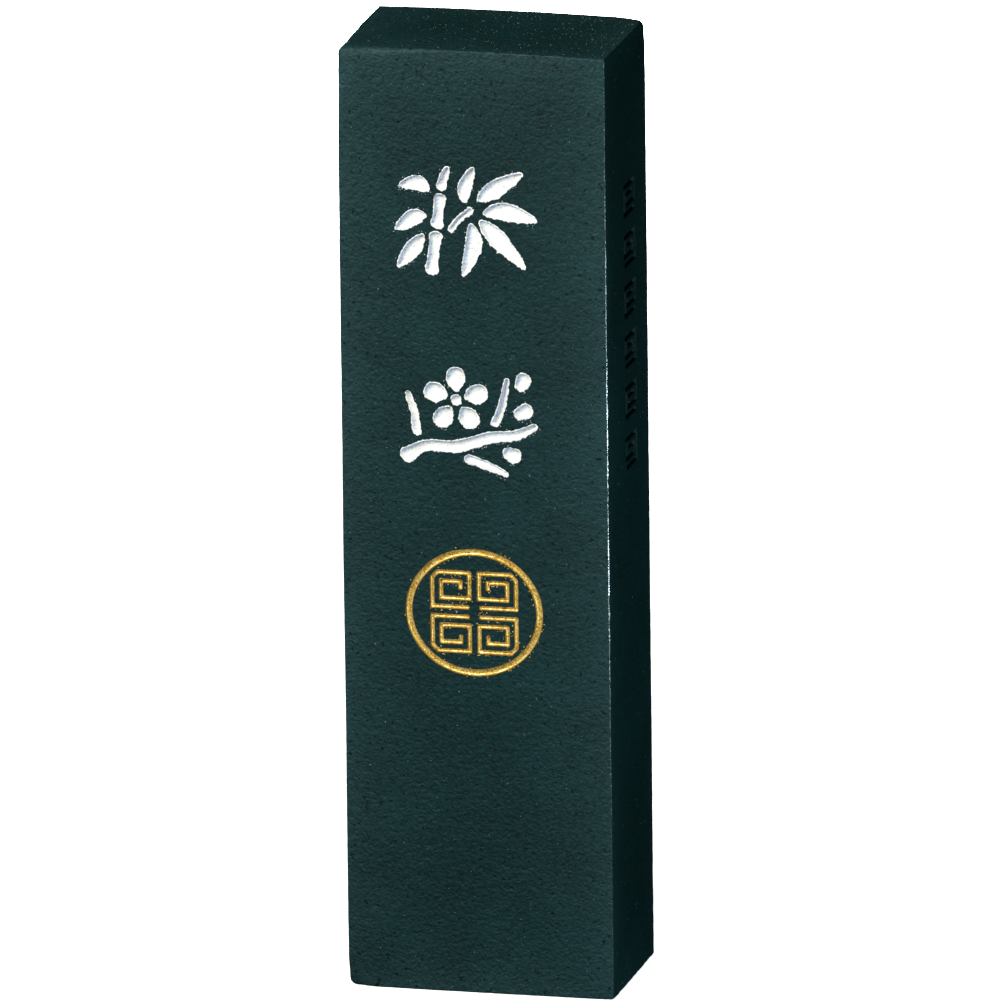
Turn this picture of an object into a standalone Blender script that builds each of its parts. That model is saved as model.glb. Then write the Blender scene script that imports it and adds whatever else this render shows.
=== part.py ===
"""A moulded ink stick standing on its grinding end, with a bamboo sprig and a plum bough filled with
silver pigment, a fret roundel filled with gold pigment, and a column of bare scrolls on its right side.

Metres, +Z up. The front faces -Y and the origin is the middle of the grinding end.
"""

import math

import bmesh
import bpy

MM = 0.001

# Driving dimensions: the block of a 30 g stick.
WIDTH = 22 * MM
DEPTH = 14 * MM
HEIGHT = 78 * MM
EDGE_RADIUS = 0.5 * MM
EDGE_SEGMENTS = 3

# Engraving: how deep each mark is cut, and how the dried pigment sits in it.
SILVER_RECESS = 0.6 * MM
GOLD_RECESS = 0.45 * MM
SIDE_RECESS = 0.4 * MM
PIGMENT_SUNK = 0.12 * MM  # from the face down to the top of the pigment
FIT_GAP = 0.05 * MM  # between the pigment and the walls of its recess
CUTTER_REACH = 1.0 * MM  # how far a cutter stands out of the face

# Places on the front face: the middle of each motif, from the middle of the grinding end.
BAMBOO_CENTRE = (-0.5 * MM, 64.0 * MM)
PLUM_CENTRE = (-0.4 * MM, 47.5 * MM)
ROUNDEL_CENTRE = (-0.2 * MM, 31.7 * MM)

# The roundel: an oval ring around four square spirals.
RING_HALF_WIDTH = 5.65 * MM
RING_HALF_HEIGHT = 5.27 * MM
RING_LINE = 0.54 * MM
RING_STEPS = 96
FRET_WIDTH = 3.05 * MM
FRET_HEIGHT = 2.85 * MM
FRET_PITCH = 0.73 * MM
FRET_LINE = 0.35 * MM
FRET_CENTRE_GAP = 0.4 * MM  # from the roundel's middle lines to a spiral's centre line
FRET_CUT_CORNER = 0.45 * MM  # the corner next to the ring is cut off

# The side scrolls: a column of small square spirals, turned left and right by turns.
SCROLL_COUNT = 6
SCROLL_TOP = 64.6 * MM
SCROLL_PITCH = 4.17 * MM
SCROLL_SET_BACK = 1.0 * MM  # from the middle of the side towards the back
SCROLL_WIDTH = 3.4 * MM
SCROLL_HEIGHT = 2.3 * MM
SCROLL_LINE_PITCH = 0.72 * MM
SCROLL_LINE = 0.36 * MM

STROKE_STEPS = 8  # outline points for each stretch between two stroke points
STROKE_SWELL = 1.6  # how fully a stroke swells beside its ends: 1 is straight sided
CAP_STEPS = 8
CAP_LENGTH = 0.7  # of a stroke's rounded end, as a share of half its width

# Each stroke is its centre line, as (across, up, width) in millimetres from its motif's centre.
BAMBOO_STROKES = {
    "silver_culm_lower": [(-2.85, -4.1, 1.05), (-2.7, -2.8, 0.8), (-2.5, -1.35, 1.05)],
    "silver_culm_middle": [(-2.4, -0.3, 1.0), (-2.25, 0.75, 0.75), (-2.12, 1.8, 1.0)],
    "silver_culm_tip": [(-2.0, 2.8, 0.85), (-1.8, 3.6, 0.6), (-1.5, 4.3, 0.3)],
    "silver_leaf_low_left": [(-3.6, -1.35, 0.35), (-4.4, -2.45, 1.25), (-5.6, -3.9, 0.2)],
    "silver_leaf_mid_left": [(-3.45, 0.35, 0.35), (-4.4, 0.1, 1.25), (-5.75, -0.85, 0.2)],
    "silver_leaf_high_left": [(-3.1, 2.5, 0.35), (-4.0, 3.0, 1.2), (-5.4, 2.75, 0.2)],
    "silver_twig": [(-1.25, -0.75, 0.42), (-0.55, 0.2, 0.42), (0.35, 0.9, 0.55)],
    "silver_leaf_upright": [(-0.15, 1.7, 0.35), (-0.05, 2.85, 1.1), (0.6, 4.4, 0.2)],
    "silver_leaf_rising": [(1.1, 1.85, 0.35), (2.35, 2.75, 1.35), (4.6, 4.1, 0.2)],
    "silver_leaf_level": [(1.55, 0.75, 0.35), (3.2, 0.95, 1.4), (5.75, 0.3, 0.2)],
    "silver_leaf_falling": [(1.25, 0.0, 0.35), (2.55, -1.3, 1.4), (4.75, -3.6, 0.2)],
    "silver_leaf_hanging": [(0.4, -0.3, 0.35), (0.6, -1.95, 1.35), (-0.25, -4.4, 0.2)],
}
PLUM_STROKES = {
    "silver_bough": [
        (-5.2, -3.0, 1.25), (-3.6, -2.15, 0.85), (-1.2, -2.1, 0.9), (1.6, -1.25, 0.85), (3.7, -0.95, 0.7),
        (5.35, -0.15, 0.45),
    ],
    "silver_spur_left": [(-4.35, -1.05, 0.65), (-4.55, 0.6, 0.55), (-5.1, 2.2, 0.3)],
    "silver_spur_right": [(2.1, -0.05, 0.65), (2.65, 1.35, 0.55), (3.1, 3.6, 0.3)],
    "silver_spur_low": [(-0.2, -3.05, 0.65), (1.25, -3.5, 0.6), (3.0, -4.25, 0.3)],
    "silver_bud_top": [(4.2, 3.1, 0.85), (4.5, 3.75, 1.15)],
    "silver_bud_right": [(4.0, 0.8, 0.85), (4.75, 1.15, 1.15)],
    "silver_bud_low": [(3.05, -2.4, 0.85), (3.75, -2.7, 1.15)],
}
BLOSSOM_CENTRE = (-1.1, 1.75)  # the blossom of the plum bough, from the middle of that motif
PETAL_COUNT = 5
PETAL = [(0.95, 0.5), (1.65, 1.5), (2.2, 1.35)]  # (out from the blossom's middle, width)
BLOSSOM_EYE = 0.8  # across the dot in the middle


# --- outlines, as lists of (across, up) points ---


def curve_value(before, start, end, after, t):
    """A Catmull-Rom curve's value at t, from 0 at start to 1 at end."""
    rise = end - before
    bend = 2 * before - 5 * start + 4 * end - after
    twist = 3 * start - before - 3 * end + after
    return 0.5 * (2 * start + rise * t + bend * t**2 + twist * t**3)


def swell_share(t, first, last):
    """How far the width has gone from one stroke point to the next, which is fastest beside the ends."""
    if first:
        return 1 - (1 - t) ** STROKE_SWELL
    if last:
        return t**STROKE_SWELL
    return t * t * (3 - 2 * t)


def smooth_path(points):
    """The stroke points (across, up, width) with a smooth curve between them."""
    ends = [points[0], *points, points[-1]]
    path = []
    for i, (before, start, end, after) in enumerate(zip(ends, ends[1:], ends[2:], ends[3:])):
        for step in range(STROKE_STEPS):
            t = step / STROKE_STEPS
            place = [curve_value(before[k], start[k], end[k], after[k], t) for k in (0, 1)]
            share = swell_share(t, i == 0, i == len(points) - 2)
            path.append((*place, start[2] + (end[2] - start[2]) * share))
    return [*path, points[-1]]


def round_cap(centre, radius, angle):
    """The rounded end of a stroke that points at angle, without its two last points."""
    ahead, aside = (math.cos(angle), math.sin(angle)), (-math.sin(angle), math.cos(angle))
    cap = []
    for step in range(1, CAP_STEPS):
        turn = math.pi * (step / CAP_STEPS - 0.5)
        out, across = radius * CAP_LENGTH * math.cos(turn), radius * math.sin(turn)
        cap.append(tuple(centre[k] + out * ahead[k] + across * aside[k] for k in (0, 1)))
    return cap


def stroke_outline(points, centre, grow):
    """The outline of a brush stroke with round ends, grown outwards by grow."""
    path = [
        (centre[0] + across * MM, centre[1] + up * MM, width * MM / 2 + grow)
        for across, up, width in smooth_path(points)
    ]
    left, right = [], []
    for i, (x, z, half) in enumerate(path):
        start, end = path[max(i - 1, 0)], path[min(i + 1, len(path) - 1)]
        angle = math.atan2(end[1] - start[1], end[0] - start[0])
        side = (-math.sin(angle) * half, math.cos(angle) * half)
        left.append((x + side[0], z + side[1]))
        right.append((x - side[0], z - side[1]))
        if i == 0:
            first_angle = angle
    tail = round_cap(path[0], path[0][2], first_angle + math.pi)
    head = round_cap(path[-1], path[-1][2], angle)
    return [*right, *head, *reversed(left), *tail]


def blossom_strokes():
    """The petals of the plum blossom, the first one pointing up, and the eye between them."""
    strokes = {}
    for i in range(PETAL_COUNT):
        turn = math.pi / 2 + 2 * math.pi * i / PETAL_COUNT
        strokes[f"silver_petal_{i + 1}"] = [
            (BLOSSOM_CENTRE[0] + out * math.cos(turn), BLOSSOM_CENTRE[1] + out * math.sin(turn), width)
            for out, width in PETAL
        ]
    half = BLOSSOM_EYE * (1 - CAP_LENGTH) / 2
    strokes["silver_blossom_eye"] = [
        (BLOSSOM_CENTRE[0] + across, BLOSSOM_CENTRE[1], BLOSSOM_EYE) for across in (-half, half)
    ]
    return strokes


def ring_outline(centre, half_width, half_height):
    turns = [2 * math.pi * step / RING_STEPS for step in range(RING_STEPS)]
    return [(centre[0] + half_width * math.cos(t), centre[1] + half_height * math.sin(t)) for t in turns]


def spiral_path(width, height, pitch, cut_corner):
    """A square spiral winding inwards from (0, 0), with its far outer corner cut off by cut_corner."""
    path = [(0, 0), (width, 0)]
    if cut_corner:
        path += [(width, height - cut_corner), (width - cut_corner, height)]
    else:
        path += [(width, height)]
    low_x, high_x, low_z, high_z = 0, width - pitch, pitch, height - pitch
    path += [(low_x, height), (low_x, low_z)]
    while high_x - low_x > pitch and high_z - low_z > 0:
        path += [(high_x, low_z), (high_x, high_z)]
        low_x, low_z = low_x + pitch, low_z + pitch
        path += [(low_x, high_z)]
        if high_z - low_z < pitch / 2:
            break
        path += [(low_x, low_z)]
        high_x, high_z = high_x - pitch, high_z - pitch
    return path


def line_outline(path, line, grow):
    """The outline of a line of even width with mitred corners, grown outwards by grow."""
    half = line / 2 + grow
    left, right = [], []
    for i, (x, z) in enumerate(path):
        into = direction(path[i - 1], path[i]) if i else direction(path[0], path[1])
        out = direction(path[i], path[i + 1]) if i < len(path) - 1 else into
        normal = (-(into[1] + out[1]), into[0] + out[0])
        reach = half * 2 / (normal[0] ** 2 + normal[1] ** 2)
        ahead = 0 if 0 < i < len(path) - 1 else (grow if i else -grow)
        x, z = x + out[0] * ahead, z + out[1] * ahead
        left.append((x + normal[0] * reach, z + normal[1] * reach))
        right.append((x - normal[0] * reach, z - normal[1] * reach))
    return [*right, *reversed(left)]


def direction(start, end):
    length = math.dist(start, end)
    return ((end[0] - start[0]) / length, (end[1] - start[1]) / length)


def placed(path, centre, flip_x, flip_z):
    """A path moved to centre, and mirrored where flip_x or flip_z is -1."""
    return [(centre[0] + flip_x * x, centre[1] + flip_z * z) for x, z in path]


# --- solids ---


def make_material(name, colour, roughness, metallic):
    material = bpy.data.materials.new(name)
    material.use_nodes = True
    shader = material.node_tree.nodes["Principled BSDF"]
    shader.inputs["Base Color"].default_value = (*colour, 1)
    shader.inputs["Roughness"].default_value = roughness
    shader.inputs["Metallic"].default_value = metallic
    return material


def make_plate(name, outlines, low, high, collection, turn):
    """A flat plate of these outlines, from low to high above the middle plane of the block.

    The first outline is the edge and a second one is a hole. turn is 0 for a plate that faces the
    front and a quarter turn for one that faces the right.
    """
    curve = bpy.data.curves.new(name, "CURVE")
    curve.dimensions = "2D"
    curve.fill_mode = "BOTH"
    curve.extrude = (high - low) / 2
    for outline in outlines:
        spline = curve.splines.new("POLY")
        spline.points.add(len(outline) - 1)
        spline.use_cyclic_u = True
        for point, (across, up) in zip(spline.points, outline):
            point.co = (across, up, 0, 1)
    flat = bpy.data.objects.new(name + "_outline", curve)
    bpy.context.scene.collection.objects.link(flat)
    flat.rotation_euler = (math.pi / 2, 0, turn)
    middle = (high + low) / 2
    flat.location = (middle * math.sin(turn), -middle * math.cos(turn), 0)
    bpy.context.view_layer.update()
    graph = bpy.context.evaluated_depsgraph_get()
    mesh = bpy.data.meshes.new_from_object(flat.evaluated_get(graph))
    work = bmesh.new()
    work.from_mesh(mesh)
    bmesh.ops.remove_doubles(work, verts=work.verts, dist=0.001 * MM)
    bmesh.ops.recalc_face_normals(work, faces=work.faces)
    work.to_mesh(mesh)
    work.free()
    plate = bpy.data.objects.new(name, mesh)
    collection.objects.link(plate)
    plate.matrix_world = flat.matrix_world
    bpy.data.objects.remove(flat)
    return plate


def cut_recess(name, outlines, face, depth, turn=0.0):
    """A cutter that sinks these outlines into the face that lies face away from the middle plane."""
    cutter = make_plate(name + "_cutter", outlines, face - depth, face + CUTTER_REACH, cutters, turn)
    cutter.hide_render = True
    cutter.display_type = "WIRE"


def fill_recess(name, outlines, depth, material):
    """Dried pigment in a recess of the front face."""
    face = DEPTH / 2
    pigment = make_plate(name, outlines, face - depth + FIT_GAP, face - PIGMENT_SUNK, parts, 0.0)
    pigment.data.materials.append(material)


def make_strokes(strokes, centre):
    """The silver strokes of one motif, with their recesses."""
    for name, points in strokes.items():
        cut_recess(name, [stroke_outline(points, centre, FIT_GAP)], DEPTH / 2, SILVER_RECESS)
        fill_recess(name, [stroke_outline(points, centre, 0)], SILVER_RECESS, silver)


def make_ring():
    """The gold ring around the frets, with its recess."""

    def edges(grow):
        outer, inner = grow, -RING_LINE - grow
        return [
            ring_outline(ROUNDEL_CENTRE, RING_HALF_WIDTH + reach, RING_HALF_HEIGHT + reach)
            for reach in (outer, inner)
        ]

    cut_recess("gold_ring", edges(FIT_GAP), DEPTH / 2, GOLD_RECESS)
    fill_recess("gold_ring", edges(0), GOLD_RECESS, gold)


def make_frets():
    """Four gold square spirals inside the ring, mirrored about its two middle lines."""
    for name, flip_x, flip_z in (
        ("upper_left", -1, 1),
        ("upper_right", 1, 1),
        ("lower_left", -1, -1),
        ("lower_right", 1, -1),
    ):
        corner = (
            ROUNDEL_CENTRE[0] + flip_x * FRET_CENTRE_GAP,
            ROUNDEL_CENTRE[1] + flip_z * FRET_CENTRE_GAP,
        )
        spiral = spiral_path(FRET_WIDTH, FRET_HEIGHT, FRET_PITCH, FRET_CUT_CORNER)
        path = placed(spiral, corner, flip_x, flip_z)
        fret = "gold_fret_" + name
        cut_recess(fret, [line_outline(path, FRET_LINE, FIT_GAP)], DEPTH / 2, GOLD_RECESS)
        fill_recess(fret, [line_outline(path, FRET_LINE, 0)], GOLD_RECESS, gold)


def cut_side_scrolls():
    """A column of bare scrolls in the right side, which is read with the front to its left."""
    for i in range(SCROLL_COUNT):
        flip = 1 if i % 2 else -1
        corner = (
            SCROLL_SET_BACK - flip * SCROLL_WIDTH / 2,
            SCROLL_TOP - i * SCROLL_PITCH - SCROLL_HEIGHT / 2,
        )
        spiral = spiral_path(SCROLL_WIDTH, SCROLL_HEIGHT, SCROLL_LINE_PITCH, 0)
        path = placed(spiral, corner, flip, 1)
        outline = line_outline(path, SCROLL_LINE, 0)
        cut_recess(f"side_scroll_{i + 1}", [outline], WIDTH / 2, SIDE_RECESS, math.pi / 2)


def make_body():
    """The cast block of soot and glue, with its edges rubbed round and its marks cut in."""
    mesh = bpy.data.meshes.new("ink_body")
    work = bmesh.new()
    bmesh.ops.create_cube(work, size=1)
    bmesh.ops.scale(work, vec=(WIDTH, DEPTH, HEIGHT), verts=work.verts)
    bmesh.ops.translate(work, vec=(0, 0, HEIGHT / 2), verts=work.verts)
    work.to_mesh(mesh)
    work.free()
    body = bpy.data.objects.new("ink_body", mesh)
    parts.objects.link(body)
    mesh.materials.append(ink)
    bevel = body.modifiers.new("rubbed_edges", "BEVEL")
    bevel.width = EDGE_RADIUS
    bevel.segments = EDGE_SEGMENTS
    engraving = body.modifiers.new("engraving", "BOOLEAN")
    engraving.operation = "DIFFERENCE"
    engraving.operand_type = "COLLECTION"
    engraving.collection = cutters


for old in list(bpy.data.objects):
    bpy.data.objects.remove(old)
parts = bpy.data.collections.new("ink_stick")
cutters = bpy.data.collections.new("ink_stick_cutters")
for made in (parts, cutters):
    bpy.context.scene.collection.children.link(made)

ink = make_material("ink_cake", (0.020, 0.045, 0.047), 0.62, 0.0)
silver = make_material("silver_pigment", (0.90, 0.90, 0.92), 0.45, 0.3)
gold = make_material("gold_pigment", (0.80, 0.56, 0.16), 0.40, 0.6)

make_strokes(BAMBOO_STROKES, BAMBOO_CENTRE)
make_strokes(PLUM_STROKES | blossom_strokes(), PLUM_CENTRE)
make_ring()
make_frets()
cut_side_scrolls()
make_body()
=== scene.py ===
"""A moulded ink stick on a plain white table: a block of soot and glue with rubbed edges, whose
engraved ornaments hold silver and gold powder paint. Lengths are in millimetres until a mesh is made.
"""

import math
import random

import bmesh
import bpy
import numpy as np
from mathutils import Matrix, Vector, noise
from mathutils.geometry import delaunay_2d_cdt


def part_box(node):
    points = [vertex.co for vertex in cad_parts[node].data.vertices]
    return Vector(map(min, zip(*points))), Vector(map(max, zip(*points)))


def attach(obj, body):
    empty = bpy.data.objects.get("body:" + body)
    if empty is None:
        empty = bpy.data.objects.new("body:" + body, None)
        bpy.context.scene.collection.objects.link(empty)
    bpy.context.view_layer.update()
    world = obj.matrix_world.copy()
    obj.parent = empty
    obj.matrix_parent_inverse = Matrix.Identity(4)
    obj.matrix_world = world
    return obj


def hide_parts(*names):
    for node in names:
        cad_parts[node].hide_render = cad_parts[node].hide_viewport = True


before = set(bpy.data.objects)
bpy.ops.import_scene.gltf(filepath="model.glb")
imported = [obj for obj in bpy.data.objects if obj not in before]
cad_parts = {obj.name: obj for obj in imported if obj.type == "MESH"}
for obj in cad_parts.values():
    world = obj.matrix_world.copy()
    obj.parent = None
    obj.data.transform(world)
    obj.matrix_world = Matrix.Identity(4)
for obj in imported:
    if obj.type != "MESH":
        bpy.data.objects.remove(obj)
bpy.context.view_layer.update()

# --- The block ---
# Soot kneaded with animal glue, pressed in a carved wooden mould, dried for months and rubbed at the
# edges. The mould's ornaments are sunk into the front and one side, and the dried skin is finely
# grained, with small pits, nibs and knocked edges.

MM = 0.001
BLOCK_LOW, BLOCK_HIGH = (np.array(corner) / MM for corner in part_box("ink_body"))
SIZE = BLOCK_HIGH - BLOCK_LOW
EDGE_ROUND = 0.17  # rounding of a rubbed edge
ROUND_CHANGES = 0.22  # along an edge its rounding grows and shrinks by this share
BLUNT_CORNERS = (  # where the rubbing went deeper: (place as shares of the box, reach, more rounding)
    ((0.02, 0.0, 1.0), 9.0, 0.42),
    ((1.0, 1.0, 1.0), 2.4, 0.45),
    ((0.0, 0.0, 0.0), 2.6, 0.5),
    ((1.0, 0.0, 0.0), 1.6, 0.12),
)
CHIP_COUNT, CHIP_REACH, CHIP_DEPTH = 100, (0.15, 0.5), (0.02, 0.12)
SWELL_WIDTH, SWELL_HEIGHT = 9.0, 0.025  # slow waves that drying leaves in a face
RIPPLE_WIDTH, RIPPLE_HEIGHT = 0.8, 0.013
TOP_CROWN = 0.16  # the top falls this far towards its two sides
RUBBED_FLAT = math.radians(29)  # the front right edge has a narrow flat, turned this far to the right
FLAT_DEPTH = 0.022  # how far the flat cuts into the round of that edge, at most FLAT_LIMIT
FLAT_LIMIT = 0.06
GRIP_HEIGHT, GRIP_REACH = 41.0, 11.0  # where fingers have rubbed it deepest, and how far up and down
RIM_REACH = 3.2  # hands and the drying cloth have paled the faces this far in from the edges


def rough(points, width, octaves=3, seed=0.0):
    """Smooth random numbers from about -1 to 1 at these places, with lumps of this width."""
    shift = Vector((seed * 17.3, seed * 5.1, -seed * 9.7))
    return np.array([noise.fractal(Vector(p) / width + shift, 1.0, 2.0, octaves) for p in points])


random.seed(41)
chips = []  # knocks along the twelve edges: (place, reach, depth)
for _ in range(CHIP_COUNT):
    along = random.randrange(3)
    spot = [random.choice((0.0, 1.0)) for _ in range(3)]
    spot[along] = random.random()
    place = BLOCK_LOW + np.array(spot) * SIZE
    chips.append((place, random.uniform(*CHIP_REACH), random.uniform(*CHIP_DEPTH)))


def skin(points):
    """The block's real surface over points on its sharp-edged box: places, outward directions, edge wear."""
    points = np.asarray(points, float)
    rounding = EDGE_ROUND * (1 + ROUND_CHANGES * rough(points, 1.1, 3, 1.0))
    blunted = [(BLOCK_LOW + np.array(share) * SIZE, reach, more) for share, reach, more in BLUNT_CORNERS]
    for spot, reach, more in blunted + chips:
        away = np.linalg.norm(points - spot, axis=1) / reach
        rounding += more * np.clip(1 - away**2, 0, 1) ** 2
    # A point beside an edge or a corner moves on to its round, and one within a face stays where it is.
    core = np.clip(points, BLOCK_LOW + rounding[:, None], BLOCK_HIGH - rounding[:, None])
    out = points - core
    out /= np.linalg.norm(out, axis=1)[:, None]
    lift = SWELL_HEIGHT * (rough(points, SWELL_WIDTH, 2, 2.0) - 1)
    lift += RIPPLE_HEIGHT * rough(points, RIPPLE_WIDTH, 3, 3.0)
    across = (points[:, 0] - BLOCK_LOW[0]) / SIZE[0] * 2 - 1
    height = (points[:, 2] - BLOCK_LOW[2]) / SIZE[2]
    places = core + out * (rounding + lift)[:, None]
    places[:, 2] -= TOP_CROWN * across**2 * height**12
    # The flat is a plane across the rounded edge. It is deepest at the grip, and runs out here and there.
    turn = np.array((math.sin(RUBBED_FLAT), -math.cos(RUBBED_FLAT), 0.0))
    corner = np.array((BLOCK_HIGH[0], BLOCK_LOW[1], 0.0)) @ turn
    crest = corner - EDGE_ROUND * (math.sin(RUBBED_FLAT) + math.cos(RUBBED_FLAT) - 1)
    held = 0.6 + 1.1 * np.exp(-(((points[:, 2] - GRIP_HEIGHT) / GRIP_REACH) ** 2))
    over = places @ turn - crest + FLAT_DEPTH * (held + 0.55 * rough(points, 2.2, 3, 4.0))
    places -= np.clip(over, 0, FLAT_LIMIT)[:, None] * turn
    # Wear is full on the rounds and dies away over the first millimetre or so of a face.
    beside = np.sort(np.minimum(points - BLOCK_LOW, BLOCK_HIGH - points), 1)[:, 1]
    wear = np.clip((1 - np.abs(out).max(1)) / 0.2, 0, 1) * 0.7 + 0.3 * np.exp(-beside / 0.9)
    return places, out, wear


# The outlines of the painted strokes and of the bare scrolls are read from the frame's own pieces.

STROKE_STEP, SCROLL_STEP = 0.065, 0.09  # between the points of an outline
SOFTENING, FRET_SOFTENING = 2, 3  # rounds of smoothing at the corners of an outline
SCROLL_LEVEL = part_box("ink_body")[1][0] / MM - 0.4  # the floor of the scrolls in the right side


def flat_loops(node, axis, level):
    """The outlines of a node's faces that lie across this axis at this level, as rows of the other two."""
    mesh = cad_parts[node].data
    keep = [i for i in range(3) if i != axis]
    sides = {}
    for face in mesh.polygons:
        corners = [mesh.vertices[i].co / MM for i in face.vertices]
        if all(abs(corner[axis] - level) < 0.004 for corner in corners):
            spots = [tuple(round(corner[i], 3) for i in keep) for corner in corners]
            for start, end in zip(spots, spots[1:] + spots[:1]):
                if (end, start) in sides:
                    del sides[end, start]
                else:
                    sides[start, end] = True
    follow = dict(sides.keys())
    loops = []
    while follow:
        start, spot = follow.popitem()
        loop = [start]
        while spot != start:
            loop.append(spot)
            spot = follow.pop(spot)
        loops.append(np.array(loop))
    return loops


def even_loop(loop, step, rounds):
    """The loop with points this far apart, its corners softened over this many rounds."""
    closed = np.vstack([loop, loop[:1]])
    run = np.concatenate([[0], np.cumsum(np.hypot(*np.diff(closed, axis=0).T))])
    places = np.linspace(0, run[-1], max(12, round(run[-1] / step)), endpoint=False)
    even = np.stack([np.interp(places, run, closed[:, i]) for i in (0, 1)], 1)
    for _ in range(rounds):
        even = even * 0.5 + (np.roll(even, 1, 0) + np.roll(even, -1, 0)) * 0.25
    return even


PAINTED = {}
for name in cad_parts:
    if name != "ink_body":
        rounds = FRET_SOFTENING if "fret" in name else SOFTENING
        loops = flat_loops(name, 1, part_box(name)[0][1] / MM)
        PAINTED[name] = [even_loop(loop, STROKE_STEP, rounds) for loop in loops]
SCROLLS = [even_loop(loop, SCROLL_STEP, SOFTENING) for loop in flat_loops("ink_body", 0, SCROLL_LEVEL)]


def inside(spots, loops):
    """Which spots lie inside an odd number of the loops."""
    hit = np.zeros(len(spots), bool)
    for loop in loops:
        near = np.all((spots >= loop.min(0)) & (spots <= loop.max(0)), axis=1)
        x, y = spots[near].T
        odd = np.zeros(len(x), bool)
        for (x0, y0), (x1, y1) in zip(loop, np.roll(loop, -1, 0)):
            if y0 != y1:
                odd ^= ((y0 > y) != (y1 > y)) & (x < (x1 - x0) * (y - y0) / (y1 - y0) + x0)
        hit[near] ^= odd
    return hit


def distance(spots, loops):
    """How far each spot is from the nearest loop."""
    start = np.vstack(loops)
    along = np.vstack([np.roll(loop, -1, 0) for loop in loops]) - start
    reach = np.maximum((along**2).sum(1), 1e-12)
    best = []
    for few in np.array_split(spots, len(spots) // 1500 + 1):
        away = few[:, None] - start
        share = np.clip((away * along).sum(2) / reach, 0, 1)
        best.append(np.sqrt(((away - share[:, :, None] * along) ** 2).sum(2).min(1)))
    return np.concatenate(best)


def outward(loops):
    """For each loop, the directions out of the area that the loops enclose."""
    found = []
    for loop in loops:
        ahead = np.roll(loop, -1, 0) - np.roll(loop, 1, 0)
        side = np.stack([ahead[:, 1], -ahead[:, 0]], 1)
        side /= np.hypot(*side.T)[:, None]
        found.append(-side if inside(loop[:1] + side[:1] * 0.004, loops)[0] else side)
    return found


def triangles(spots, rings, outlines, within=True):
    """Triangles over these spots, with every ring of spot numbers as edges: those inside the outlines,
    or those outside them."""
    spots = np.float32(spots).astype(float)  # rounded as the triangulation rounds them
    edges = [pair for ring in rings for pair in zip(ring, [*ring[1:], ring[0]])]
    placed, _, faces, sources, _, _ = delaunay_2d_cdt([Vector(s) for s in spots], edges, [], 0, 1e-6)
    assert len(placed) == len(spots)
    faces = np.array([[sources[i][0] for i in face] for face in faces])
    return faces[inside(spots[faces].mean(1), [spots[ring] for ring in outlines]) == within]


def strip(ring, lower):
    """Triangles between two rings of as many points."""
    wall = np.array([ring, np.roll(ring, -1), np.roll(lower, -1), lower]).T
    return np.vstack([wall[:, [0, 1, 2]], wall[:, [0, 2, 3]]])


def cap(spots, rings):
    """Triangles over the area that these rings of spots enclose."""
    loops = [spots[ring] for ring in rings]
    starts = np.cumsum([0] + [len(ring) for ring in rings])
    local = [list(range(start, end)) for start, end in zip(starts, starts[1:])]
    return np.concatenate(rings)[triangles(np.vstack(loops), local, local)]


def scatter(width, height, step, seed):
    """Spots about this far apart over a rectangle, in shaken rows."""
    chance = np.random.default_rng(seed)
    rows = int(height / (step * 0.87)) + 1
    columns = int(width / step) + 1
    u = (np.arange(columns)[None, :] + 0.5 * (np.arange(rows)[:, None] % 2)) * step
    v = np.repeat(np.arange(rows)[:, None] * step * 0.87, columns, 1)
    spots = np.stack([u.ravel(), v.ravel()], 1) + chance.uniform(-0.2, 0.2, (rows * columns, 2)) * step
    return spots[(spots[:, 0] < width) & (spots[:, 1] < height)]


# Each face of the block is a sheet of triangles with its openings and its pits, closest at the edges,
# and the six sheets are merged along the edges.

FACES = {  # origin, across and up as box corners or axes; spacing of its points; pits and nibs on it
    "front": ((0, 0, 0), (1, 0, 0), (0, 0, 1), 0.27, 230),
    "right": ((1, 0, 0), (0, 1, 0), (0, 0, 1), 0.32, 110),
    "back": ((1, 1, 0), (-1, 0, 0), (0, 0, 1), 0.52, 150),
    "left": ((0, 1, 0), (0, -1, 0), (0, 0, 1), 0.52, 90),
    "top": ((0, 0, 1), (1, 0, 0), (0, 1, 0), 0.34, 45),
    "bottom": ((0, 1, 0), (1, 0, 0), (0, -1, 0), 0.55, 20),
}
EDGE_TICKS = (0, 0.045, 0.09, 0.135, 0.18, 0.25, 0.38, 0.65, 1.15)  # lines beside an edge
BORDER = EDGE_TICKS[-1]
BORDER_STEP = 0.33  # between the points along those lines
RECESS_STEPS = ((0, 0), (0, 0.45))  # down into a painted recess: (inwards from its outline, depth)
SCROLL_STEPS = ((-0.09, 0), (-0.035, 0.012), (0.0, 0.05), (0.03, 0.3), (0.08, 0.38))
PIT_REACH, PIT_MORE = 0.08, 0.17  # the smallest pit, and what the largest one has more
PIT_DEPTH = 0.085
PIT_SHARE = 0.62  # the rest are nibs, which stand out by NIB_HEIGHT of a pit's depth
NIB_HEIGHT = 0.6
PIT_RINGS = ((0.0, 1), (0.5, 6), (1.0, 9))  # (share of its reach, points on the ring)


def ticks(length):
    """Lines of points across a face: close together beside its two edges."""
    count = round((length - 2 * BORDER) / BORDER_STEP)
    middle = np.linspace(BORDER, length - BORDER, count + 1)
    return np.concatenate([EDGE_TICKS[:-1], middle, length - np.array(EDGE_TICKS[-2::-1])])


def openings(name):
    """The openings of a face: for each, its loops on the face and the steps down into it."""
    origin = BLOCK_LOW + np.array(FACES[name][0]) * SIZE
    if name == "front":
        return [([loop - origin[[0, 2]] for loop in loops], RECESS_STEPS) for loops in PAINTED.values()]
    if name == "right":
        return [([loop - origin[[1, 2]]], SCROLL_STEPS) for loop in SCROLLS]
    return []


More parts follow.
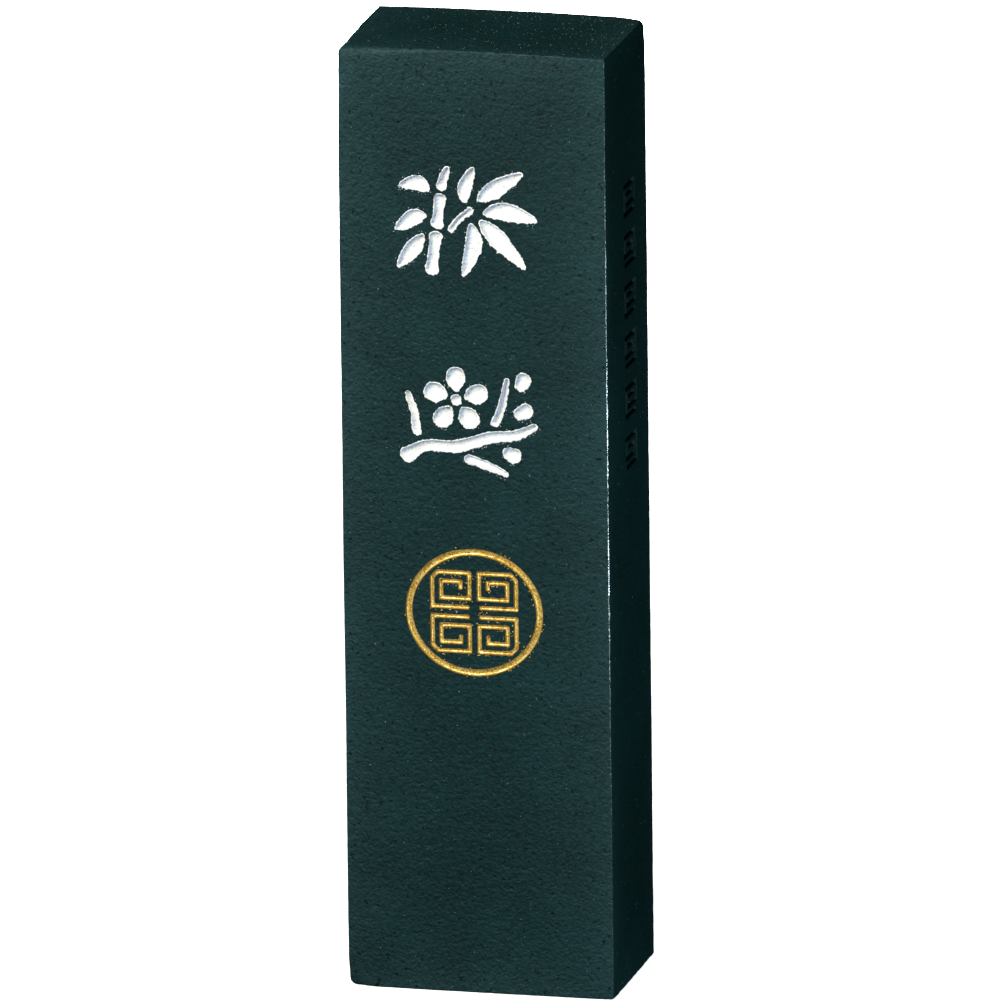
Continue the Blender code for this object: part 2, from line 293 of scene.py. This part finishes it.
def pits_on(name, width, height, rims):
    """Pits and nibs on a face, clear of the rims of its openings: (place, reach, depth, squash, turn)."""
    count = FACES[name][4]
    chance = np.random.default_rng(len(name) * 7 + count)
    pits = []
    while len(pits) < count:
        spot = chance.uniform((BORDER, BORDER), (width - BORDER, height - BORDER))
        reach = PIT_REACH + PIT_MORE * chance.random() ** 3
        if not rims or distance(spot[None], rims)[0] > reach + 0.25:
            if not inside(spot[None], rims)[0]:
                deep = PIT_DEPTH * chance.uniform(0.5, 1.2)
                deep *= 1 if chance.random() < PIT_SHARE else -NIB_HEIGHT
                pits.append((spot, reach, deep, chance.uniform(0.7, 1.0), chance.uniform(0, math.pi)))
    return pits


def sink(spots, pits):
    """How deep the pits sink each spot of a face."""
    sunk = np.zeros(len(spots))
    for spot, reach, deep, squash, turn in pits:
        away = spots - spot
        along = away @ [math.cos(turn), math.sin(turn)]
        beside = away @ [-math.sin(turn), math.cos(turn)]
        share = np.hypot(along, beside / squash) / reach
        sunk += deep * np.clip(1 - share**2, 0, 1) ** 2
    return sunk


def build_face(name):
    """One face of the block: sharp-box points, how deep each is sunk, and triangles."""
    corner, across, up = (np.array(part, float) for part in FACES[name][:3])
    step = FACES[name][3]
    width, height = float(np.abs(across) @ SIZE), float(np.abs(up) @ SIZE)
    # Its points: lines along the borders, rings on each pit, loose ones between, then the openings' rims.
    grid = np.stack(np.meshgrid(ticks(width), ticks(height)), -1).reshape(-1, 2)
    spots = [grid[(np.minimum(grid, [width, height] - grid) < BORDER + 1e-6).any(1)]]
    groups = openings(name)
    rims = []
    for loops, steps in groups:
        rims.append([loop - way * steps[0][0] for loop, way in zip(loops, outward(loops))])
    every_rim = [rim for group in rims for rim in group]
    pits = pits_on(name, width, height, every_rim)
    loose = scatter(width - 2 * BORDER, height - 2 * BORDER, step, len(name)) + BORDER
    loose = loose[(np.minimum(loose, [width, height] - loose) > BORDER + step * 0.45).all(1)]
    for spot, reach, *_ in pits:
        loose = loose[np.hypot(*(loose - spot).T) > reach * 1.25]
        for share, count in PIT_RINGS:
            turn = np.arange(count) / count * 2 * math.pi + share
            spots.append(spot + share * reach * np.stack([np.cos(turn), np.sin(turn)], 1))
    if every_rim:
        loose = loose[(distance(loose, every_rim) > step * 0.55) & ~inside(loose, every_rim)]
    spots = np.vstack([*spots, loose])
    spots = spots[~inside(spots, every_rim)]
    order, total = [], len(spots)
    for rim in every_rim:
        order.append(list(range(total, total + len(rim))))
        total += len(rim)
    spots = np.vstack([spots, *every_rim])
    faces = [triangles(spots, order, order, within=False)]
    sunk = sink(spots, pits)
    # Walls go down from each rim, one step at a time, to a floor.
    order = iter(order)
    for loops, steps in groups:
        ways = outward(loops)
        rings = [next(order) for _ in loops]
        for inwards, depth in steps[1:]:
            lower = []
            for loop, way, ring in zip(loops, ways, rings):
                lower.append(np.arange(len(spots), len(spots) + len(loop)))
                spots = np.vstack([spots, loop - way * inwards])
                sunk = np.concatenate([sunk, np.full(len(loop), depth)])
                faces.append(strip(ring, lower[-1]))
            rings = lower
        faces.append(cap(spots, rings))
    points = BLOCK_LOW + corner * SIZE + spots[:, :1] * across + spots[:, 1:] * up
    return points, sunk, np.vstack(faces)


def closed_mesh(name, places, faces, attributes):
    """A mesh in metres from points in millimetres, merged and turned outwards, with point attributes."""
    mesh = bpy.data.meshes.new(name)
    mesh.from_pydata((np.asarray(places) * MM).tolist(), [], np.asarray(faces).tolist())
    for label, values in attributes.items():
        layer = mesh.attributes.new(label, "FLOAT", "POINT")
        layer.data.foreach_set("value", np.asarray(values, np.float32))
    work = bmesh.new()
    work.from_mesh(mesh)
    bmesh.ops.remove_doubles(work, verts=work.verts, dist=0.0005 * MM)
    bmesh.ops.recalc_face_normals(work, faces=work.faces)
    assert all(side.is_manifold for side in work.edges), name + " isn't closed"
    work.to_mesh(mesh)
    work.free()
    mesh.shade_smooth()
    mesh.set_sharp_from_angle(angle=math.radians(60))
    piece = bpy.data.objects.new(name, mesh)
    bpy.context.scene.collection.objects.link(piece)
    return piece


def linear(code):
    """Linear red, green, blue and alpha from an sRGB hex colour."""
    parts = [int(code[i : i + 2], 16) / 255 for i in (1, 3, 5)]
    return (*[p / 12.92 if p <= 0.04045 else ((p + 0.055) / 1.055) ** 2.4 for p in parts], 1.0)


def feed(tree, node, inputs):
    """Give each input of a node its value, or link it to an output or to a node's first output."""
    for label, value in inputs.items():
        if isinstance(value, bpy.types.Node):
            value = next(socket for socket in value.outputs if socket.enabled)
        if isinstance(value, bpy.types.NodeSocket):
            tree.links.new(value, node.inputs[label])
        else:
            node.inputs[label].default_value = value


def add(tree, kind, inputs, stops=(), **settings):
    """A node with its settings, its inputs and, on a colour ramp, its (place, hex colour) stops."""
    made = tree.nodes.new(kind)
    for label, value in settings.items():
        setattr(made, label, value)
    feed(tree, made, inputs)
    for _ in stops[2:]:
        made.color_ramp.elements.new(0.5)
    for number, (place, code) in enumerate(stops):
        stop = made.color_ramp.elements[number]
        stop.position, stop.color = place, linear(code)
    return made


def blend(tree, *parts):
    """The sum of these parts, each one an output and its weight."""
    total = 0.0
    for output, weight in parts:
        total = add(tree, "ShaderNodeMath", {0: output, 1: weight, 2: total}, operation="MULTIPLY_ADD")
    return total


def start_material(name, inputs):
    """A new material with these values on its shader: the node tree, the shader and object coordinates."""
    made = bpy.data.materials.new(name)
    made.use_nodes = True
    tree = made.node_tree
    shader = tree.nodes["Principled BSDF"]
    feed(tree, shader, inputs)
    return made, tree, shader, add(tree, "ShaderNodeTexCoord", {}).outputs["Object"]


def cake_material(name, gloss, roughness, relief):
    """Dried soot and glue: a dense teal black between matte and satin. The mould and the drying leave a
    grain of lumps and pinholes with faint level drag lines, and rubbed edges are smoother and paler.
    Real soot is ground far too fine to see, so the finest grain here is as coarse as it needs to show."""
    made, tree, shader, where = start_material(name, {"IOR": 1.5, "Specular IOR Level": gloss})
    drag = add(tree, "ShaderNodeMapping", {"Vector": where, "Scale": (0.3, 0.3, 1.0)})
    clouds, lumps, fine, lines, pores, scuffs = (
        add(
            tree,
            "ShaderNodeTexNoise",
            {"Vector": place, "Scale": 1 / (width * MM), "Detail": detail, "Roughness": broken},
        )
        for place, width, detail, broken in (
            (where, 8.0, 2.0, 0.6),
            (where, 0.5, 1.0, 0.6),
            (where, 0.26, 2.0, 0.6),
            (drag, 0.42, 3.0, 0.6),
            (where, 0.36, 1.0, 0.6),
            (where, 1.1, 4.0, 0.7),
        )
    )
    wear = add(tree, "ShaderNodeAttribute", {}, attribute_name="wear").outputs["Fac"]
    rim = add(tree, "ShaderNodeAttribute", {}, attribute_name="rim").outputs["Fac"]
    tone = blend(tree, (clouds, 0.3), (fine, 0.3), (lumps, 0.2), (lines, 0.2))
    colour = add(
        tree, "ShaderNodeValToRGB", {"Fac": tone}, ((0.36, "#081b1b"), (0.5, "#0c2727"), (0.64, "#123030"))
    )
    patchy = blend(tree, (lumps, 0.25), (clouds, 0.25))
    paled = add(tree, "ShaderNodeMath", {0: rim, 1: patchy}, operation="MULTIPLY")
    colour = add(tree, "ShaderNodeMix", {"Factor": paled, 6: colour, 7: linear("#304a4a")}, data_type="RGBA")
    scuffed = add(tree, "ShaderNodeValToRGB", {"Fac": scuffs}, ((0.4, "#000000"), (0.66, "#ffffff")))
    worn = add(tree, "ShaderNodeMath", {0: wear, 1: scuffed}, operation="MULTIPLY")
    dusty = add(tree, "ShaderNodeMath", {0: worn, 1: 0.4}, operation="MULTIPLY")
    colour = add(tree, "ShaderNodeMix", {"Factor": dusty, 6: colour, 7: linear("#3d5554")}, data_type="RGBA")
    # Painted shade: pinholes are sunk by the bump and painted near black inside.
    pinholes_with_painted_shade = add(tree, "ShaderNodeValToRGB", {"Fac": pores}, ((0.27, "#000000"), (0.34, "#ffffff")))
    colour = add(tree, "ShaderNodeMix", {"Factor": pinholes_with_painted_shade, 6: linear("#061819"), 7: colour}, data_type="RGBA")
    grained = blend(tree, (fine, 0.2), (lumps, 0.1), (worn, -0.3))
    dull = add(tree, "ShaderNodeMath", {0: grained, 1: roughness}, operation="ADD")
    height = blend(tree, (lumps, 0.36), (fine, 0.5), (lines, 0.05), (pinholes_with_painted_shade, 0.12))
    bump = add(tree, "ShaderNodeBump", {"Height": height, "Strength": 1.0, "Distance": relief * MM})
    feed(tree, shader, {"Base Color": colour, "Roughness": dull, "Normal": bump})
    return made


sheets = [build_face(name) for name in FACES]
points = np.vstack([sheet[0] for sheet in sheets])
sunk = np.concatenate([sheet[1] for sheet in sheets])
starts = np.cumsum([0] + [len(sheet[0]) for sheet in sheets])
faces = np.vstack([sheet[2] + start for sheet, start in zip(sheets, starts)])
places, out, wear = skin(points)
places -= out * sunk[:, None]
beside = np.sort(np.minimum(points - BLOCK_LOW, BLOCK_HIGH - points), 1)[:, 1]
block = closed_mesh("moulded_block", places, faces, {"wear": wear, "rim": np.exp(-beside / RIM_REACH)})
block.data.materials.append(cake_material("soot_and_glue_cake", 0.15, 0.4, 0.25))
block.data.materials.append(cake_material("burnished_cake_edge", 1.0, 0.14, 0.05))

# Handling has burnished the rubbed flat, in patches.
FLAT_FACING = 0.955  # how squarely a face has to look out of the flat to belong to it
flat_way = Vector((math.sin(RUBBED_FLAT), -math.cos(RUBBED_FLAT), 0))
flat_corner = Vector((BLOCK_HIGH[0], BLOCK_LOW[1], 0)) * MM
for face in block.data.polygons:
    patchy = 0.03 * noise.fractal(face.center / MM / 0.7, 1.0, 2.0, 3)
    if (face.center - flat_corner).xy.length < 3.2 * EDGE_ROUND * MM:
        face.material_index = int(face.normal @ flat_way + patchy > FLAT_FACING)
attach(block, "root")
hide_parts("ink_body")

# --- The silver paint ---
# Silver powder in thin glue, brushed by hand into each sunk stroke of the bamboo and the plum bough.
# It lines the hollow, heaps over its rim and dries with a ragged edge.

SILVER_COAT = {"depth": 0.42, "slope": 0.27, "overlap": 0.1, "lumps": 0.03}
PAINT_RIM, PAINT_EDGE = 0.014, 0.006  # how high the paint stands over the skin beside its stroke
TUCK = 0.02  # its hidden sides go this far under the skin and stay this far inside the outline
UNDER = 0.04  # and its base lies this far below the hollow


def paint_piece(name, loops, seed, depth, slope, overlap, lumps):
    """Dried paint in one sunk stroke: a hollow skin over a plug that fills the recess. The hollow falls
    to its depth over the width of its slope, and the paint heaps over the rim by about the overlap."""
    # The brush ran past the outline by an uneven amount, most of all below the stroke.
    ways = outward(loops)
    edges = []
    for loop, way in zip(loops, ways):
        spots = np.column_stack([loop, np.zeros(len(loop))])
        ragged = 0.6 * rough(spots, 0.16, 3, seed + 5) + 0.5 * rough(spots, 0.6, 2, seed + 6)
        under = 0.75 + 0.35 * np.clip(-way[:, 1], 0, 1)
        edges.append(loop + way * (overlap * np.clip(0.7 + 1.5 * ragged, 0.12, 2.4) * under)[:, None])
    low, high = np.vstack(loops).min(0), np.vstack(loops).max(0)
    loose = scatter(*(high - low), STROKE_STEP * 1.12, 3) + low
    loose = loose[inside(loose, loops)]
    loose = loose[distance(loose, loops) > STROKE_STEP * 0.55]
    rings, total = [], 0
    for loop in [*edges, *loops]:
        rings.append(np.arange(total, total + len(loop)))
        total += len(loop)
    spots = np.vstack([*edges, *loops, loose])
    faces = [triangles(spots, rings, rings[: len(edges)])]
    # The hollow is steep at its rim and level in the middle, and its lumps are smallest at the rim.
    inward = np.where(inside(spots, loops), distance(spots, loops), 0.0)
    fall = np.clip(inward / slope, 0, 1)
    height = PAINT_RIM - depth * (1 - (1 - fall) ** 2.2)
    lump = rough(np.column_stack([spots, np.zeros(len(spots))]), 0.22, 3, seed)
    height += lumps * lump * np.clip(0.35 + inward / 0.1, 0.15, 1)
    height[np.concatenate(rings[: len(edges)])] = PAINT_EDGE
    # Out of sight, the piece is closed by a lip under its edge, a wall and a base.
    bases = []
    for loop, way, edge, ring in zip(loops, ways, edges, rings):
        wall = loop - way * TUCK
        for outline, level in ((edge, -TUCK), (wall, -TUCK), (wall, -depth - UNDER)):
            lower = np.arange(len(spots), len(spots) + len(loop))
            spots = np.vstack([spots, outline])
            height = np.concatenate([height, np.full(len(loop), level)])
            faces.append(strip(ring, lower))
            ring = lower
        bases.append(ring)
    faces.append(cap(spots, bases))
    places, out, _ = skin(np.column_stack([spots[:, 0], np.full(len(spots), BLOCK_LOW[1]), spots[:, 1]]))
    inward = np.concatenate([inward, np.zeros(len(spots) - len(inward))])
    places += out * height[:, None]
    return closed_mesh("paint_" + name, places, np.vstack(faces), {"inward": inward})


def silver_material():
    """Silver powder paint: near white and soft, because the flakes lie every way in the glue. On the upper
    and left walls of a hollow, which face down and to the right, away from the light, its colour is painted
    bluish grey: painted shade. Bare dots of ink show only within that painted shade. The powder is drawn far
    coarser than it is, to show."""
    made, tree, shader, where = start_material(
        "silver_powder_paint", {"Metallic": 0.15, "Roughness": 0.5, "IOR": 1.5}
    )
    powder, patch, dots = (
        add(
            tree,
            "ShaderNodeTexNoise",
            {"Vector": where, "Scale": 1 / (width * MM), "Detail": detail, "Roughness": broken},
        )
        for width, detail, broken in ((0.13, 4.0, 0.65), (0.4, 3.0, 0.7), (0.17, 4.0, 0.75))
    )
    body = add(
        tree, "ShaderNodeValToRGB", {"Fac": powder}, ((0.3, "#d8d5cf"), (0.45, "#ece8e0"), (0.6, "#fbf8f1"))
    )
    # Painted shade: walls that face down and to the right, away from the light, are tinted bluish grey and
    # dotted with ink.
    facing = add(tree, "ShaderNodeNewGeometry", {}).outputs["True Normal"]
    down = add(tree, "ShaderNodeVectorMath", {0: facing, 1: (0.4, 0.0, -0.92)}, operation="DOT_PRODUCT")
    shaded = blend(tree, (down, 1.0), (patch, 0.7))
    painted_shade_share = add(tree, "ShaderNodeValToRGB", {"Fac": shaded}, ((0.5, "#000000"), (0.8, "#ffffff")))
    painted_shade_tint = add(tree, "ShaderNodeMath", {0: painted_shade_share, 1: 0.75}, operation="MULTIPLY")
    colour = add(tree, "ShaderNodeMix", {"Factor": painted_shade_tint, 6: body, 7: linear("#98aed4")}, data_type="RGBA")
    bare = add(tree, "ShaderNodeValToRGB", {"Fac": dots}, ((0.55, "#000000"), (0.6, "#ffffff")))
    ink = add(tree, "ShaderNodeMath", {0: painted_shade_share, 1: bare}, operation="MULTIPLY")
    colour = add(tree, "ShaderNodeMix", {"Factor": ink, 6: colour, 7: linear("#1b2b30")}, data_type="RGBA")
    bump = add(tree, "ShaderNodeBump", {"Height": powder, "Strength": 0.5, "Distance": 0.03 * MM})
    feed(tree, shader, {"Base Color": colour, "Normal": bump})
    return made


silver_paint = silver_material()
silver_loops = {name: loops for name, loops in PAINTED.items() if name.startswith("silver")}
for name, loops in silver_loops.items():
    piece = paint_piece(name, loops, list(PAINTED).index(name), **SILVER_COAT)
    piece.data.materials.append(silver_paint)
    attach(piece, "root")
    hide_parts(name)

# --- The gold paint ---
# Gold powder in glue, brushed into the round ornament: a ring and four square spirals. The lines are
# narrow, so the paint lies in them as one soft hollow. Its edge is painted darker and browner, as painted
# shade.

GOLD_COAT = {"depth": 0.2, "slope": 0.16, "overlap": 0.035, "lumps": 0.016}
GOLD_SEED = 60


def gold_material():
    """Gold powder paint: bright yellow flakes, drawn far coarser than they are, to show; the palest cream
    ones are painted glints. The edge of each line is painted dark brown, which is painted shade."""
    made, tree, shader, where = start_material(
        "gold_powder_paint", {"Metallic": 0.5, "Roughness": 0.32, "IOR": 1.5}
    )
    powder = add(
        tree,
        "ShaderNodeTexNoise",
        {"Vector": where, "Scale": 1 / (0.15 * MM), "Detail": 4.0, "Roughness": 0.7},
    )
    # Flakes differ in tone at random from brown to yellow; the palest cream ones are painted glints.
    flakes = ((0.35, "#8f611a"), (0.46, "#e0ab3e"), (0.57, "#ffdf7c"), (0.66, "#fff6cc"))
    body = add(tree, "ShaderNodeValToRGB", {"Fac": powder}, flakes)
    # Painted shade: within about a tenth of a millimetre of its outline the paint is darkened to brown, at
    # the sides of the line.
    inward = add(tree, "ShaderNodeAttribute", {}, attribute_name="inward").outputs["Fac"]
    away = add(tree, "ShaderNodeMath", {0: inward, 1: 8.0}, operation="MULTIPLY")
    edge = add(tree, "ShaderNodeValToRGB", {"Fac": away}, ((0.0, "#ffffff"), (0.75, "#000000")))
    painted_shade_share = add(tree, "ShaderNodeMath", {0: edge, 1: 0.8}, operation="MULTIPLY")
    colour = add(tree, "ShaderNodeMix", {"Factor": painted_shade_share, 6: body, 7: linear("#54370f")}, data_type="RGBA")
    bump = add(tree, "ShaderNodeBump", {"Height": powder, "Strength": 0.6, "Distance": 0.06 * MM})
    feed(tree, shader, {"Base Color": colour, "Normal": bump})
    return made


gold_paint = gold_material()
gold_loops = {name: loops for name, loops in PAINTED.items() if name.startswith("gold")}
for name, loops in gold_loops.items():
    piece = paint_piece(name, loops, list(PAINTED).index(name) + GOLD_SEED, **GOLD_COAT)
    piece.data.materials.append(gold_paint)
    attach(piece, "root")
    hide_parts(name)

# --- Flecks of paint and grains in the skin ---
# Powder that missed the brush line dries as tiny flecks beside the strokes, most of them on the lower
# side. The cake itself has pale nibs of undissolved glue at its skin.

SHORT_FLECK = (0.3, 0.3, 0.2)  # a fleck's sides are random shares of its size, from these
LONG_FLECK = (1.3, 1.0)  # to these, and its thickness to a share that is given
FLECK_LIFT = 0.004  # over the skin


def fleck_tree(label, thickest):
    """Geometry Nodes that scatter flat flecks over a ground, as thickly as its attribute near says."""
    tree = bpy.data.node_groups.new(label, "GeometryNodeTree")
    for socket, kind in (
        ("Ground", "NodeSocketGeometry"),
        ("Fleck size", "NodeSocketFloat"),
        ("Flecks per area", "NodeSocketFloat"),
        ("Seed", "NodeSocketInt"),
        ("Paint", "NodeSocketMaterial"),
    ):
        tree.interface.new_socket(name=socket, in_out="INPUT", socket_type=kind)
    tree.interface.new_socket(name="Flecks", in_out="OUTPUT", socket_type="NodeSocketGeometry")
    given = tree.nodes.new("NodeGroupInput").outputs
    near = add(tree, "GeometryNodeInputNamedAttribute", {"Name": "near"}, data_type="FLOAT")
    thick = add(tree, "ShaderNodeMath", {0: near, 1: given["Flecks per area"]}, operation="MULTIPLY")
    spread = add(
        tree,
        "GeometryNodeDistributePointsOnFaces",
        {"Mesh": given["Ground"], "Density": thick, "Seed": given["Seed"]},
    ).outputs
    one = add(tree, "GeometryNodeMeshIcoSphere", {"Radius": given["Fleck size"], "Subdivisions": 1})
    shape = add(
        tree,
        "FunctionNodeRandomValue",
        {0: SHORT_FLECK, 1: (*LONG_FLECK, thickest), "Seed": given["Seed"]},
        data_type="FLOAT_VECTOR",
    )
    laid = add(
        tree,
        "GeometryNodeInstanceOnPoints",
        {"Points": spread["Points"], "Instance": one, "Rotation": spread["Rotation"], "Scale": shape},
    )
    turn = add(
        tree,
        "FunctionNodeRandomValue",
        {0: (0.0, 0.0, 0.0), 1: (0.3, 0.3, 6.28), "Seed": given["Seed"]},
        data_type="FLOAT_VECTOR",
    )
    laid = add(tree, "GeometryNodeRotateInstances", {"Instances": laid, "Rotation": turn})
    solid = add(tree, "GeometryNodeRealizeInstances", {"Geometry": laid})
    smooth = add(tree, "GeometryNodeSetShadeSmooth", {0: solid})
    done = add(tree, "GeometryNodeSetMaterial", {"Geometry": smooth, "Material": given["Paint"]})
    add(tree, "NodeGroupOutput", {"Flecks": done})
    return tree


def scatter_flecks(label, ground, material, fleck, density, seed, thickest=0.4):
    """Flecks on a ground of (places, faces, how near), made a plain mesh; the ground isn't kept."""
    places, faces, near = ground
    mesh = bpy.data.meshes.new(label + "_ground")
    mesh.from_pydata((np.asarray(places) * MM).tolist(), [], np.asarray(faces).tolist())
    mesh.attributes.new("near", "FLOAT", "POINT").data.foreach_set("value", np.asarray(near, np.float32))
    holder = bpy.data.objects.new(label + "_holder", mesh)
    bpy.context.scene.collection.objects.link(holder)
    modifier = holder.modifiers.new("flecks", "NODES")
    modifier.node_group = fleck_tree(label + "_tree", thickest)
    values = {
        "Fleck size": fleck * MM,
        "Flecks per area": density / MM**2,
        "Seed": seed,
        "Paint": material,
    }
    for socket in modifier.node_group.interface.items_tree:
        if socket.in_out == "INPUT" and socket.name in values:
            modifier[socket.identifier] = values[socket.name]
    bpy.context.view_layer.update()
    evaluated = holder.evaluated_get(bpy.context.evaluated_depsgraph_get())
    mesh = bpy.data.meshes.new_from_object(evaluated)
    bpy.data.objects.remove(holder)
    inward = np.ones(len(mesh.vertices), np.float32)  # a fleck gets no painted shade at its edge
    mesh.attributes.new("inward", "FLOAT", "POINT").data.foreach_set("value", inward)
    piece = bpy.data.objects.new(label, mesh)
    bpy.context.scene.collection.objects.link(piece)
    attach(piece, "root")
    return piece


def fringe(strokes, reach):
    """A ground beside these strokes, with how thickly flecks lie at each point: most below the paint."""
    places, faces, near, start = [], [], [], 0
    every = [loop for loops in PAINTED.values() for loop in loops]
    for loops in strokes.values():
        for loop, way in zip(loops, outward(loops)):
            inner, outer = loop + way * 0.06, loop + way * reach
            # No fleck lies in another stroke, and few lie right or above, where the brush didn't drag.
            free = ~inside(outer, every) & ~inside(inner, every) & (distance(outer, every) > reach * 0.6)
            ring = np.arange(start, start + len(loop))
            band = strip(ring, ring + len(loop))
            allowed = np.concatenate([free, free])
            faces.append(band[allowed[band - start].all(1)])
            places += [inner, outer]
            below = 0.3 + 0.7 * np.clip(-way[:, 1], 0, 1) + 0.2 * np.clip(-way[:, 0], 0, 1)
            spots = np.column_stack([loop, np.zeros(len(loop))])
            clumps = np.clip(0.4 + 2.5 * rough(spots, 1.3, 2, 8.0), 0, 2)
            near += [below * clumps, np.zeros(len(loop))]
            start += 2 * len(loop)
    spots = np.vstack(places)
    surface, out, _ = skin(np.column_stack([spots[:, 0], np.full(len(spots), BLOCK_LOW[1]), spots[:, 1]]))
    return surface + out * FLECK_LIFT, np.vstack(faces), np.concatenate(near)


def nib_material():
    """Undissolved glue at the skin of the cake: pale, slightly glossy specks."""
    made, tree, shader, where = start_material("glue_nibs", {"Roughness": 0.4, "IOR": 1.5})
    shade = add(
        tree,
        "ShaderNodeTexNoise",
        {"Vector": where, "Scale": 1 / (0.9 * MM), "Detail": 4.0, "Roughness": 0.6},
    )
    colour = add(tree, "ShaderNodeValToRGB", {"Fac": shade}, ((0.35, "#3c5352"), (0.6, "#8ea3a0")))
    feed(tree, shader, {"Base Color": colour})
    return made


flecks = scatter_flecks(
    "silver_flecks", fringe(silver_loops, 0.3), silver_paint, fleck=0.04, density=30.0, seed=4
)
flecks = scatter_flecks("gold_flecks", fringe(gold_loops, 0.2), gold_paint, fleck=0.07, density=26.0, seed=9)

# The nibs lie on the level parts of every face but the bottom, most of them at the back right of the top.
level = (sunk[faces].max(1) < 0.004) & (wear[faces].max(1) < 0.2) & (out[faces[:, 0], 2] > -0.9)
share = (points - BLOCK_LOW) / SIZE
thick = np.where(out[:, 2] > 0.9, 0.15 + 0.85 * share[:, 0] * (0.4 + 0.6 * share[:, 1]), 0.06)
ground = (places, faces[level], thick)
nibs = scatter_flecks(
    "glue_nibs", ground, nib_material(), fleck=0.045, density=2.6, seed=12, thickest=1.0
)

# --- The table, the light and the camera ---
# A plain white table under soft light from the front left, with a low strip that finds the rubbed
# flat, a low fill behind, a dim room, and a long lens. Places are in metres.

TABLE_REACH = 4.0
floor_mesh = bpy.data.meshes.new("table")
corners = [(x * TABLE_REACH, y * TABLE_REACH, 0) for x, y in ((-1, -1), (1, -1), (1, 1), (-1, 1))]
floor_mesh.from_pydata(corners, [], [(0, 1, 2, 3)])
floor = bpy.data.objects.new("table", floor_mesh)
bpy.context.scene.collection.objects.link(floor)
white, _, _, _ = start_material(
    "white_painted_table",
    {
        "Base Color": linear("#f2f2f2"),
        "Roughness": 0.9,
        "Specular IOR Level": 0.0,
        "Emission Color": linear("#ffffff"),
        "Emission Strength": 0.92,
    },
)
floor_mesh.materials.append(white)
floor.visible_diffuse = floor.visible_glossy = False

room = bpy.data.worlds.new("dim_room")
bpy.context.scene.world = room
room.use_nodes = True
seen = add(room.node_tree, "ShaderNodeLightPath", {}).outputs["Is Camera Ray"]
sides = {"Factor": seen, 6: linear("#123030"), 7: linear("#ffffff")}
wall = add(room.node_tree, "ShaderNodeMix", sides, data_type="RGBA")
feed(room.node_tree, room.node_tree.nodes["Background"], {"Color": wall})


def soft_light(name, place, aim, width, height, watts, tint=(1.0, 1.0, 1.0)):
    """A rectangular soft box at place, turned to aim."""
    lamp = bpy.data.lights.new(name, "AREA")
    lamp.shape, lamp.size, lamp.size_y, lamp.energy, lamp.color = "RECTANGLE", width, height, watts, tint
    box = bpy.data.objects.new(name, lamp)
    box.location = place
    box.rotation_euler = (Vector(aim) - Vector(place)).to_track_quat("-Z", "Y").to_euler()
    box.visible_camera = False
    bpy.context.scene.collection.objects.link(box)


COOL = (0.72, 0.9, 1.0)
soft_light("key_soft_box", (-0.08, -0.17, 0.19), (0, 0, 0.05), 0.14, 0.14, 0.84)
soft_light("edge_strip", (0.073, -0.072, 0.021), (0.011, -0.007, 0.045), 0.013, 0.024, 0.052, COOL)
soft_light("back_fill", (-0.12, 0.3, 0.037), (0, 0, 0.037), 0.2, 0.06, 1.2)

AZIMUTH, ELEVATION, ROLL = (math.radians(angle) for angle in (13.9, 15.0, 0.665))
AWAY = 2.005
MID_HEIGHT = 0.039
ASIDE, ABOVE = 0.00029, 0.0002  # from the middle of the stick to the middle of the frame
back_way = Vector(
    (math.sin(AZIMUTH) * math.cos(ELEVATION), -math.cos(AZIMUTH) * math.cos(ELEVATION), math.sin(ELEVATION))
)
side_way = Vector((math.cos(AZIMUTH), math.sin(AZIMUTH), 0))
up_way = back_way.cross(side_way)
lens = bpy.data.cameras.new("long_lens")
lens.lens, lens.sensor_width, lens.clip_end = 900, 36, 10
camera = bpy.data.objects.new("long_lens", lens)
bpy.context.scene.collection.objects.link(camera)
middle = Vector((0, 0, MID_HEIGHT)) + side_way * ASIDE + up_way * ABOVE
camera.location = middle + back_way * AWAY
turned = back_way.to_track_quat("Z", "Y").to_matrix()  # then rolled about its own line of sight
turned.col[0] = side_way * math.cos(ROLL) - up_way * math.sin(ROLL)
turned.col[1] = side_way * math.sin(ROLL) + up_way * math.cos(ROLL)
turned.col[2] = back_way
camera.rotation_euler = turned.to_euler()
bpy.context.scene.camera = camera
bpy.context.scene.view_settings.view_transform = "Standard"
